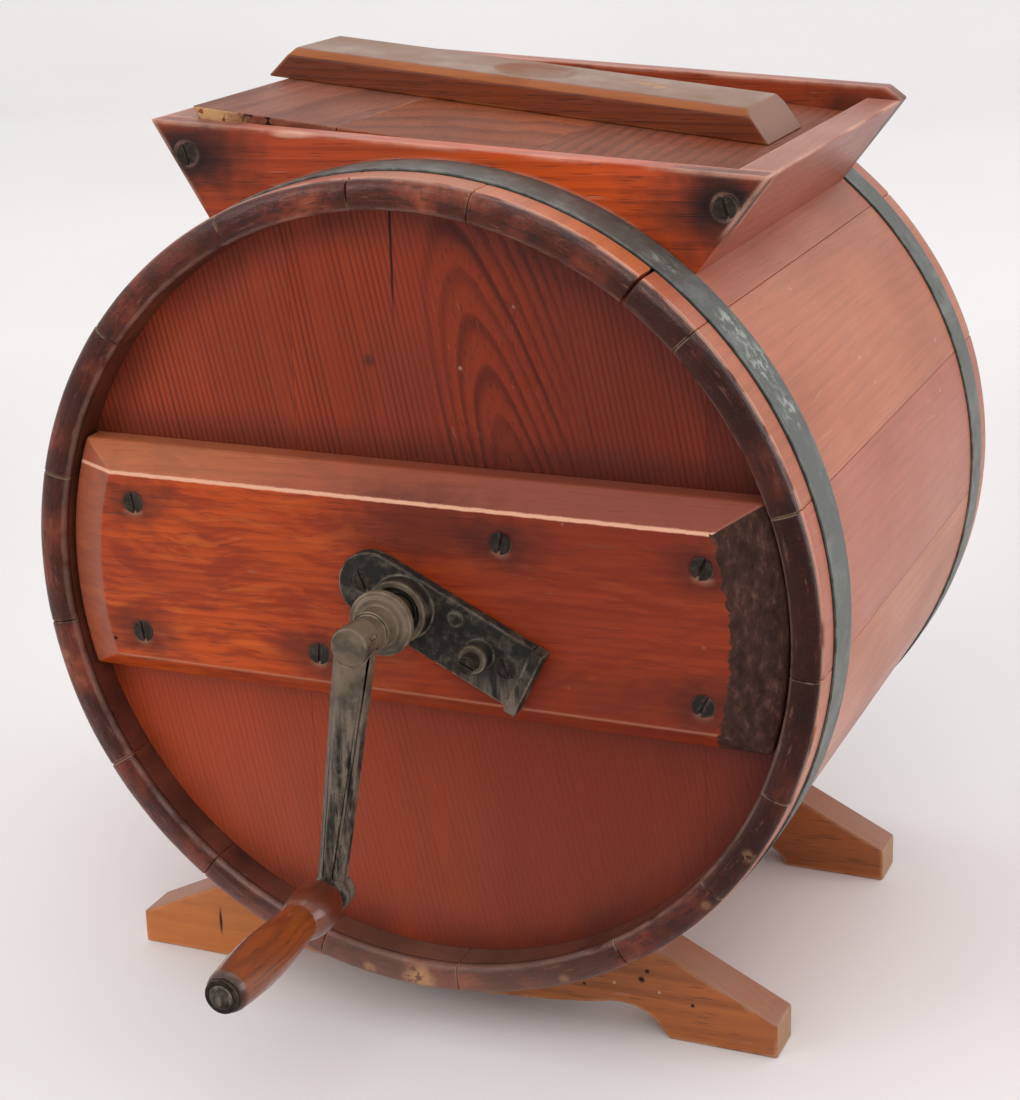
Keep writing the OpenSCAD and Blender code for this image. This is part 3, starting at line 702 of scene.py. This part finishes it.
def batten_wood(name, face):
    """Glossy orange-red board with dark screw stains and one dark end."""
    f = wood(name, "#c84f14", "#742006", grain="x", tilt=(0, 0.03, 0.02), heart=(0.03, 0.10, 0.3),
        ring=0.0045, contrast=0.42, dust=0.2, rough=0.38, dust_colour="#b88a74", blotch=0.5)
    b = f.b
    x, z = f.axis("x"), f.axis("z")
    cloudy = b.add("ShaderNodeTexNoise", {"Vector": f.place, "Scale": 14}).outputs["Color"]
    bent = b.vector("ADD", f.place, b.vector("MULTIPLY", cloudy, (0.03, 0, 0.03)))
    swirl = b.step(b.noise(b.vector("MULTIPLY", bent, (1, 1, 5)), 34, 5.0, 0.65), 0.44, 0.62)
    f.tint(swirl, 0.6, "#7d2509")
    glow = b.step(b.noise(b.vector("MULTIPLY", bent, (1, 1, 6)), 27, 4.0, 0.6), 0.55, 0.68)
    f.tint(glow, 0.35, "#d2691f")
    # Painted shade: the face darkens towards the right, away from the key light
    shade = b.step(x, -0.16, 0.08)
    f.tint(shade, 0.74, "#72200b")
    # Painted sheen: faces that look up are paler and pinker, less so towards the right
    lit_tops = b.step(f.facing("z"), 0.15, 0.35)
    across = b.ramp(b.step(x, -0.16, 0.02), [(0, paint("#b8764f")), (1, paint("#8f5240"))])
    f.layer(b.math("MULTIPLY", lit_tops, 0.55), across, 0.5)
    for sx, sz in BATTEN_SCREWS:
        spot = from_drum(sx, 0, sz)
        spot.y = face
        f.tint(f.stain(spot, 0.019, (0.6, 1, 1)), 0.6, "#3c1510", 0.5)
        f.tint(f.stain(spot, 0.0085), 0.75, "#25100d", 0.6)
        ring = spot + Vector((0, 0, -0.0012))
        below = b.step(z, spot.z - 0.003, spot.z - 0.005)
        f.tint(f.all_of(f.stain(ring, 0.0078), below), 0.5, "#b9805f", 0.7)
    cloud = f.stain((0.012, face, 0.272), 0.035, (0.6, 1, 1.3))
    f.tint(cloud, 0.6, "#451812")
    f.tint(f.stain((0.12, face, 0.20), 0.03, (0.5, 1, 1.4)), 0.35, "#5a1d10")
    for hx, hz in ((-0.1555, 0.1985), (-0.148, 0.1845)):
        f.layer(f.stain((hx, face, hz), 0.0016), paint("#0d0706"), 0.9)
    ragged = b.math("MULTIPLY", b.math("SUBTRACT", b.noise(f.place, 130, 4.0, 0.7), 0.5), 0.009)
    reach = b.math("ADD", radius_of(f), ragged)
    past = b.step(reach, BATTEN_DARK_END, BATTEN_DARK_END + 0.001)
    right = f.all_of(past, b.step(x, 0.0, 0.02), b.step(f.facing("z"), 0.4, 0.3))
    rough_cut = b.noise(b.vector("MULTIPLY", f.place, (1, 1, 0.5)), 260, 5.0, 0.7)
    bare = b.ramp(rough_cut, [(0.3, paint("#23110c")), (0.55, paint("#42271d")),
        (0.75, paint("#6a493b"))])
    f.layer(b.math("MULTIPLY", right, 0.96), bare, 0.75)
    left = b.step(f.facing("x"), -0.25, -0.4)
    f.tint(left, 0.6, "#8c543f", 0.6)
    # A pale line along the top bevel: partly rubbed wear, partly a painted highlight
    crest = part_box("front_batten")[1].z - 0.012
    wavy = b.math("ADD", z, b.math("MULTIPLY", ragged, 0.12))
    worn = f.all_of(f.band(wavy, crest - 0.0012, crest + 0.0005, 0.0004),
        b.step(b.noise(f.place, 9.0, 3.0), 0.25, 0.4), b.math("SUBTRACT", 1.0, right))
    f.tint(worn, 0.9, "#e3ab8d", 0.55)
    low = f.band(z, crest - 0.0955, crest - 0.0935, 0.0006)
    low = f.all_of(low, b.math("SUBTRACT", 1.0, past))
    f.tint(low, 0.35, "#c98a68", 0.55)
    f.raise_by(b.math("MULTIPLY", right, rough_cut), 0.0005)
    return f.done(coat=0.24, coat_rough=0.26, shine=0.3)


def hopper_wood(name, grain, light="#d2500f", dark="#842605", seed=0.0, screws=(), rubs=()):
    """Bright orange-red boards with a pale rubbed top edge.

    screws and rubs are the places of stained screws and of bare rubbed spots.
    """
    f = wood(name, light, dark, grain=grain, tilt=(0.02, 0.03, 0), heart=(0.05 + seed, 0.2, seed),
        ring=0.0055, contrast=0.5, dust=0.5, rough=0.38, dust_colour="#c09a8c")
    b = f.b
    for spot in screws:
        f.tint(f.stain(spot, 0.034, (0.62, 1, 1)), 0.82, "#2e120d", 0.5)
        f.tint(f.stain(spot, 0.017, (0.8, 1, 1)), 0.88, "#120e11", 0.5)
    for spot in rubs:
        f.tint(f.stain(spot, 0.008, (0.5, 1, 3.5)), 0.7, "#dba68f", 0.6)
    worn = put(b, EDGE_WEAR, {"Vector": f.place, "Width": 0.0036, "Scale": 24.0})["Mask"]
    f.tint(f.all_of(worn, b.step(f.axis("z"), 0.40, 0.41)), 0.85, "#dba68f", 0.6)
    return f.done(coat=0.2, coat_rough=0.28, shine=0.35)


def ragged_patch(f, place, reach, cut):
    """A ragged patch near a place on a board's front end."""
    near = f.stain(place, reach, (0.5, 1, 1))
    return f.all_of(near, f.b.step(f.b.noise(f.place, 180, 4.0, 0.6), cut, cut + 0.06),
        f.b.step(f.facing("y"), -0.3, -0.6))


def lid_wood(name, light, dark, seed, tilt=(0.03, 0.02, 0), chipped=None):
    """Lid boards. chipped is a corner where the end grain shows pale."""
    f = wood(name, light, dark, grain="y", tilt=tilt, heart=(seed, 0.06, seed),
        ring=0.005, contrast=0.7, edge="#a5755c", dust=0.1, rough=0.5)
    if chipped:
        dark_bits = ragged_patch(f, chipped + Vector((0.02, 0, 0)), 0.03, 0.52)
        f.layer(dark_bits, paint("#1e0f0a"), 0.8)
        f.layer(ragged_patch(f, chipped, 0.013, 0.4), paint("#c79a6b"), 0.75)
    return f.done(coat=0.05, coat_rough=0.3, shine=0.2)


def bar_wood(name):
    """Handle bar with a rubbed greyish top and an orange edge."""
    f = wood(name, "#823814", "#461808", grain="x", heart=(0.04, 0.08, 0.1), ring=0.004,
        contrast=0.5, edge="#b5763e", edge_width=0.002, rough=0.42)
    b = f.b
    top = b.step(f.facing("z"), 0.8, 0.95)
    patch = b.ramp(b.noise(f.place, 30, 4.0, 0.6), [(0.3, paint("#86603f")), (0.5, paint("#8f7260")),
        (0.7, paint("#a68f80"))])
    f.layer(b.math("MULTIPLY", top, 0.85), patch, 0.6)
    chamfer = f.band(f.facing("z"), 0.45, 0.85, 0.05)
    stretched = b.vector("MULTIPLY", f.place, (0.4, 1, 1))
    rubbed = b.step(b.noise(stretched, 40, 4.0), 0.3, 0.6, 0.3, 0.75)
    f.tint(chamfer, rubbed, "#a8602a", 0.5)
    low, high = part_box("lid_bar")
    scuffs = f.stain((0.062, low.y + 0.03, high.z - 0.006), 0.02, (0.6, 1, 1))
    broken = b.step(b.noise(f.place, 150, 3.0), 0.5, 0.56)
    f.tint(f.all_of(scuffs, broken), 0.8, "#c8893c", 0.6)
    ends = b.step(b.math("ABSOLUTE", f.facing("x")), 0.5, 0.7)
    f.tint(ends, 0.8, "#85695b", 0.65)
    return f.done(coat=0.2, coat_rough=0.3, shine=0.35)


# Worm holes in the front foot: across, up and the radius
WORM_HOLES = [(0.0545, 0.0335, 0.0012), (0.091, 0.042, 0.0014), (0.0985, 0.0305, 0.0016),
    (0.1015, 0.0355, 0.0012), (0.125, 0.021, 0.001), (0.068, 0.0225, 0.0009)]

# A face so far away that no worm hole lands on the wood
NO_FACE = 9.0


def foot_wood(name, seed, face):
    """Orange-brown feet with dusty slopes, and worm holes and a dark split in the given face."""
    f = wood(name, "#ab5d22", "#6f3612", grain="x", tilt=(0, 0.02, 0), heart=(0.06, 0.1, seed),
        ring=0.005, contrast=0.55, edge="#cba27c", edge_width=0.003, rough=0.48, blotch=0.45)
    b = f.b
    bright = b.math("MULTIPLY", b.step(f.axis("x"), 0.0, -0.12), 0.45)
    f.layer(bright, paint("#cc7730"))
    slopes = b.step(f.facing("z"), 0.3, 0.6)
    cloud = b.step(b.noise(f.place, 35, 4.0, 0.6), 0.3, 0.7, 0.45, 0.95)
    f.tint(slopes, cloud, "#9a6f5d", 0.7)
    ends = b.step(b.math("ABSOLUTE", f.facing("x")), 0.75, 0.9)
    f.tint(ends, 0.7, "#a1805f", 0.75)
    r = radius_of(f)
    webs = f.all_of(b.step(r, 0.216, 0.203), b.step(b.noise(f.place, 60, 4.0), 0.32, 0.55))
    f.tint(webs, 0.9, "#c9bcae", 0.9)
    for hx, hz, reach in WORM_HOLES:
        f.layer(f.stain((hx, face, hz), reach * 1.4), paint("#140b08"), 0.9)
    f.layer(f.stain((-0.1392, face, 0.0208), 0.0013, (1, 1, 0.11)), paint("#140b08"), 0.9)
    return f.done(coat=0.2, coat_rough=0.34)


def grip_wood(name):
    """Turned handle, redder and darker at the bulb, and dark at its outer end."""
    f = wood(name, "#9b4c1c", "#4f220e", grain="y", heart=(0.02, 0.03, 0), ring=0.003,
        contrast=0.55, rough=0.34, blotch=0.6)
    b = f.b
    near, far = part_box("grip")[1].y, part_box("grip")[0].y
    y = f.axis("y")
    f.tint(b.step(y, near - 0.034, near - 0.014), 0.8, "#4e1c11")
    f.tint(b.step(y, far + 0.006, far + 0.001), 0.85, "#2c1a14", 0.6)
    rubbed = b.step(b.noise(f.place, 55, 4.0, 0.6), 0.58, 0.72)
    f.tint(rubbed, 0.45, "#c09a86", 0.5)
    return f.done(coat=0.6, coat_rough=0.16)


def dasher_wood(name, seed):
    """Plain pale wood, left bare inside the drum."""
    f = wood(name, "#b9925f", "#8d683c", grain="y", heart=(0.05, 0.08, seed), ring=0.004,
        contrast=0.4, edge="#cdb083", rough=0.6)
    return f.done()


def hopper_screw_spots(y):
    """The two screws of a hopper end board, on its outer face."""
    low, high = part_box("hopper_screws")
    middle = (low + high) / 2
    head_r = 0.0055
    spots = []
    for side in (-1, 1):
        reach = side * ((high.x - low.x) / 2 - head_r)
        spots.append((middle.x + reach, y, middle.z - reach * math.tan(HOPPER_TURN)))
    return spots


def finish_boards():
    for side, mirrored in (("left", "right"), ("middle", "middle"), ("right", "left")):
        finish_part("front_head_" + side, head_wood("head_wood_front_" + side, side), 0.0002)
        finish_part("rear_head_" + side, head_wood("head_wood_rear_" + side, mirrored), 0.0002)
    front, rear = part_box("front_batten")[0].y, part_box("rear_batten")[1].y
    finish_part("front_batten", batten_wood("batten_wood_front", front), 0.0012)
    finish_part("rear_batten", batten_wood("batten_wood_rear", rear), 0.0012)
    near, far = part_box("hopper_front")[0].y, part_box("hopper_rear")[1].y
    finish_part("hopper_front", hopper_wood("hopper_wood_front", "x",
        screws=hopper_screw_spots(near), rubs=[(-0.070, near, 0.4405)]), 0.001)
    finish_part("hopper_rear", hopper_wood("hopper_wood_rear", "x", "#a04420", seed=0.3,
        screws=hopper_screw_spots(far)), 0.001)
    finish_part("hopper_left", hopper_wood("hopper_wood_left", "y", "#9a4526", seed=0.5), 0.001)
    finish_part("hopper_right", hopper_wood("hopper_wood_right", "y", "#a04b2c", seed=0.7), 0.001)
    low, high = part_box("lid_left")
    corner = Vector((low.x + 0.006, low.y, high.z - 0.006))
    finish_part("lid_left", lid_wood("lid_wood_left", "#94533c", "#4e1d12", 0.05, chipped=corner))
    finish_part("lid_middle",
        lid_wood("lid_wood_middle", "#98481c", "#57200a", 0.02, tilt=(0.2, 0.1, 0)))
    finish_part("lid_right", lid_wood("lid_wood_right", "#8e4220", "#521f0d", 0.45))
    finish_part("lid_bar", bar_wood("bar_wood"), 0.0012)
    finish_part("front_foot", foot_wood("foot_wood_front", 0.1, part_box("front_foot")[0].y), 0.0012)
    finish_part("rear_foot", foot_wood("foot_wood_rear", 0.6, NO_FACE), 0.0012)
    finish_part("grip", grip_wood("grip_wood"), 0.0005)
    finish_part("dasher_shaft", dasher_wood("dasher_wood_shaft", 0.1))
    finish_part("dasher_pins", dasher_wood("dasher_wood_pins", 0.2), 0.0003)
    for i in range(4):
        name = f"dasher_paddle_{i + 1}"
        finish_part(name, dasher_wood("wood_" + name, 0.3 * i))


def hoop_iron():
    """Grey-green bands with pale scratches beside the hopper."""
    f = iron("hoop_iron", "#5b5f5b", scale=45, film="#a3a7a1", film_share=0.35, rust_share=0.2,
        rough=0.42, edge="#a3a49b")
    b = f.b
    scratch = b.step(b.noise(b.vector("MULTIPLY", f.place, (1, 1, 0.45)), 240, 5.0, 0.7), 0.5, 0.57)
    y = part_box("front_hoop")[0].y + 0.013
    for angle, reach in ((36, 0.010), (47, 0.013), (53, 0.016), (60, 0.012)):
        turn = math.radians(angle)
        spot = (DRUM_R * math.sin(turn), y, DRUM_AXIS_Z + DRUM_R * math.cos(turn))
        f.tint(f.all_of(f.stain(spot, reach), scratch), 0.75, "#b9bfb6", 0.6)
    return f.done(metallic=0.4)


def cast_iron():
    """Blackened castings, rubbed to a warm grey on the crank's boss and collar."""
    f = iron("cast_iron", "#1f1b16", scale=110, film="#8a7c6a", film_share=0.3, rust_share=0.4,
        edge="#a39782")
    b = f.b
    y = f.axis("y")
    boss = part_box("bearing_plate")[0].y
    collar = f.all_of(b.step(y, boss + 0.004, boss - 0.001), b.step(f.axis("z"), 0.19, 0.205))
    patchy = b.step(b.noise(f.place, 60, 4.0, 0.6), 0.3, 0.6, 0.35, 1.0)
    f.tint(f.all_of(collar, patchy), 0.5, "#8f7a62", 0.45)
    arm = b.step(f.axis("z"), 0.215, 0.195)
    streaks = b.step(b.noise(b.vector("MULTIPLY", f.place, (1, 1, 0.09)), 260, 4.0, 0.7), 0.4, 0.58)
    f.tint(f.all_of(arm, streaks), 0.5, "#8d7b6a", 0.55)
    f.tint(f.all_of(arm, b.step(f.skin["Pits"], 0.56, 0.64)), 0.5, "#14110e", 0.8)
    return f.done()


def finish_ironwork():
    hoop = hoop_iron()
    cast = cast_iron()
    screw = iron("screw_iron", "#2b211b", scale=260, film="#75675a", film_share=0.25,
        edge="#85776a", edge_width=0.0004).done(metallic=0.3)
    for name in ("front_hoop", "rear_hoop"):
        finish_part(name, hoop, 0.0003)
    for name in ("bearing_plate", "pivot_plate", "crank", "dasher_pivot"):
        finish_part(name, cast, 0.0008)
    for name in ("hoop_rivets", "batten_screws", "hopper_screws", "foot_screws",
                 "bearing_screws", "set_screw", "lid_screws", "grip_washer"):
        finish_part(name, screw, 0.0002)


# ---- Studio ----

def make_floor():
    """A pale sheet that lies flat and rises behind in one soft curve, square to the camera."""
    width, near, far, rise = 9.0, -6.0, 3.2, 1.6
    profile = [(near, 0.0), (far, 0.0)]
    profile += [(far + rise * math.sin(a), rise * (1 - math.cos(a)))
        for a in (math.radians(d) for d in range(6, 91, 6))]
    profile.append((far + rise, 5.0))
    mesh = bmesh.new()
    rows = [[mesh.verts.new((x, y, z)) for x in (-width, width)] for y, z in profile]
    for low, high in zip(rows, rows[1:]):
        mesh.faces.new((low[0], low[1], high[1], high[0])).smooth = True
    data = bpy.data.meshes.new("floor")
    mesh.to_mesh(data)
    mesh.free()
    floor = bpy.data.objects.new("floor", data)
    bpy.context.scene.collection.objects.link(floor)
    data.materials.append(floor_paper())
    floor.rotation_euler = (0, 0, CAMERA_AZIMUTH)


def floor_paper():
    """Pale paper, which gives little glare back to the crank side."""
    f = Finish("floor_paper")
    b = f.b
    f.colour = b.ramp(b.noise(f.place, 1.3, 2.0), [(0.3, paint("#e9e7e7")), (0.7, paint("#eeecec"))])
    f.rough = 0.9
    # Painted shade: the paper is greyer to either side of the churn
    sides = f.all_of(b.step(b.math("ABSOLUTE", f.axis("x")), 0.15, 0.6),
        b.step(f.axis("y"), 1.5, 0.7), b.step(f.axis("y"), -0.6, -0.1), 0.6)
    f.layer(sides, paint("#d4d0cf"))
    front = b.step(f.axis("y"), 0.0, -0.35)
    mirrored = b.add("ShaderNodeLightPath").outputs["Is Glossy Ray"]
    f.tint(f.all_of(front, mirrored), 0.93, "#1c1a19")
    return f.done()


def add_light(name, place, aim, side, watts, colour):
    """A square lamp with the given side."""
    data = bpy.data.lights.new(name, "AREA")
    data.size = side
    data.energy = watts
    data.color = colour
    light = bpy.data.objects.new(name, data)
    bpy.context.scene.collection.objects.link(light)
    light.location = place
    light.rotation_euler = (Vector(aim) - Vector(place)).to_track_quat("-Z", "Y").to_euler()


CAMERA_PLACE = Vector((0.45779, -1.02487, 0.61239))
CAMERA_AZIMUTH = math.radians(23.291)
CAMERA_ELEVATION = math.radians(18.80)
CAMERA_ROLL = math.radians(-1.571)


def make_camera():
    """The camera, in front of the crank end, to its right and looking down."""
    data = bpy.data.cameras.new("camera")
    data.sensor_width = 36.0
    data.lens = 78.06
    data.clip_start = 0.05
    data.clip_end = 60
    camera = bpy.data.objects.new("camera", data)
    bpy.context.scene.collection.objects.link(camera)
    camera.location = CAMERA_PLACE
    level = Euler((math.pi / 2 - CAMERA_ELEVATION, 0, CAMERA_AZIMUTH)).to_matrix()
    camera.rotation_euler = (level @ Matrix.Rotation(CAMERA_ROLL, 3, "Z")).to_euler()
    bpy.context.scene.camera = camera


def make_world():
    """Even white light all round, with a dark room on the crank side for mirrored light."""
    world = bpy.data.worlds.new("studio")
    world.use_nodes = True
    world.node_tree.nodes.clear()
    b = Bench(world.node_tree)
    way = b.add("ShaderNodeSeparateXYZ", {0: b.add("ShaderNodeTexCoord").outputs["Generated"]})
    ahead = b.step(way.outputs["Y"], -0.05, -0.5)
    mirrored = b.add("ShaderNodeLightPath").outputs["Is Glossy Ray"]
    white, dark_room = (0.96, 0.95, 0.945, 1), (0.05, 0.045, 0.04, 1)
    tone = b.blend(b.math("MULTIPLY", ahead, mirrored), white, dark_room)
    glow = b.add("ShaderNodeBackground", {"Color": tone, "Strength": 0.85})
    b.add("ShaderNodeOutputWorld", {"Surface": glow})
    bpy.context.scene.world = world
    bpy.context.scene.view_settings.view_transform = "Standard"


def make_studio():
    make_camera()
    make_floor()
    make_world()
    middle = (0, 0, 0.22)
    add_light("key", (-2.0, -2.4, 1.6), middle, 1.4, 21, (1, 0.97, 0.95))
    add_light("overhead", (0.2, 1.6, 3.4), middle, 3.2, 6, (1, 0.99, 0.98))
    add_light("side", (4.4, 0.9, 1.4), middle, 2.6, 52, (1, 0.98, 0.98))
    add_light("fill", (0.9, -2.3, 2.6), (0.2, -0.4, 0), 1.6, 25, (1, 0.98, 0.96))
    add_light("backdrop", (0, 1.2, 3.6), (-1.4, 3.8, 0.6), 3.0, 24, (1, 1, 1))


make_studio()
make_staves()
finish_boards()
finish_ironwork()
